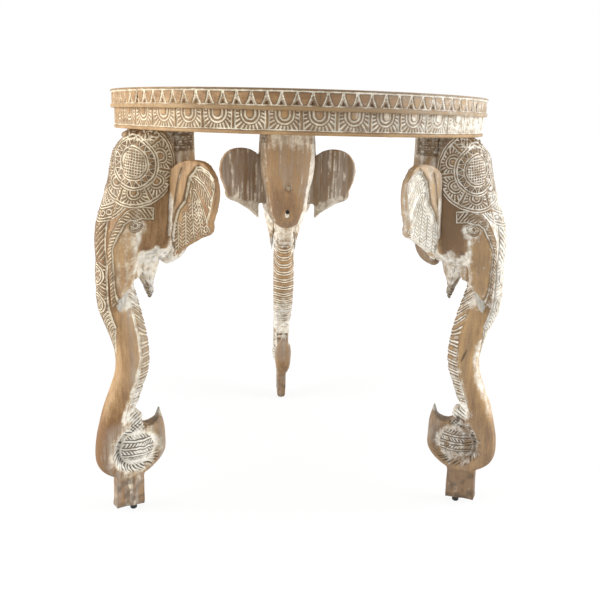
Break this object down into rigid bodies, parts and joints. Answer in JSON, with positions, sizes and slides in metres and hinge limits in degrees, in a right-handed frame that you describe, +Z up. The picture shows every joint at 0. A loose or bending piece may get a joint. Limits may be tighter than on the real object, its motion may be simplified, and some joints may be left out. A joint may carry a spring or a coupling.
{
  "type": "side table",
  "caption": "Round carved wooden side table on elephant-head legs whose trunks curl at the floor, with a carved rim and apron, for holding small things beside a seat",
  "frame": {"origin": "centre of the bounding box seen from above, on the floor under the glides", "axes": "+Z up; one leg points along +Y and the other two are at 120 degrees to it; the axis of the round top is parallel to Z and a little to the -Y side of the origin"},
  "size_m": [0.533, 0.5542, 0.544],
  "materials": {
    "whitewashed_wood": "carved wood, whitewashed and rubbed back so that paint stays in the cuts",
    "hidden_wood": "bare wood",
    "grey_tusk": "grey stained wood",
    "steel": "zinc plated",
    "black_glide": "moulded"
  },
  "bodies": {
    "root": {"leg_1_plank": "whitewashed_wood", "leg_1_cheek_left": "whitewashed_wood", "leg_1_cheek_right": "whitewashed_wood", "leg_1_neck_block": "whitewashed_wood", "leg_1_ear_left": "whitewashed_wood", "leg_1_ear_right": "whitewashed_wood", "leg_1_tusk_stubs": "grey_tusk", "leg_1_glide": "black_glide", "leg_1_neck_screws": "steel", "leg_1_neck_plug": "hidden_wood", "leg_1_cheek_dowels": "hidden_wood", "leg_1_top_dowels": "hidden_wood", "leg_2_plank": "whitewashed_wood", "leg_2_cheek_left": "whitewashed_wood", "leg_2_cheek_right": "whitewashed_wood", "leg_2_neck_block": "whitewashed_wood", "leg_2_ear_left": "whitewashed_wood", "leg_2_ear_right": "whitewashed_wood", "leg_2_tusk_stubs": "grey_tusk", "leg_2_glide": "black_glide", "leg_2_neck_screws": "steel", "leg_2_neck_plug": "hidden_wood", "leg_2_cheek_dowels": "hidden_wood", "leg_2_top_dowels": "hidden_wood", "leg_3_plank": "whitewashed_wood", "leg_3_cheek_left": "whitewashed_wood", "leg_3_cheek_right": "whitewashed_wood", "leg_3_neck_block": "whitewashed_wood", "leg_3_ear_left": "whitewashed_wood", "leg_3_ear_right": "whitewashed_wood", "leg_3_tusk_stubs": "grey_tusk", "leg_3_glide": "black_glide", "leg_3_neck_screws": "steel", "leg_3_neck_plug": "hidden_wood", "leg_3_cheek_dowels": "hidden_wood", "leg_3_top_dowels": "hidden_wood", "apron_segment_1": "whitewashed_wood", "apron_segment_2": "whitewashed_wood", "apron_segment_3": "whitewashed_wood", "apron_segment_4": "whitewashed_wood", "apron_segment_5": "whitewashed_wood", "apron_segment_6": "whitewashed_wood", "apron_screws": "steel", "top_board_1": "whitewashed_wood", "top_board_2": "whitewashed_wood", "top_board_3": "whitewashed_wood", "top_board_4": "whitewashed_wood", "top_board_5": "whitewashed_wood", "board_dowels": "hidden_wood"}
  },
  "joints": []
}
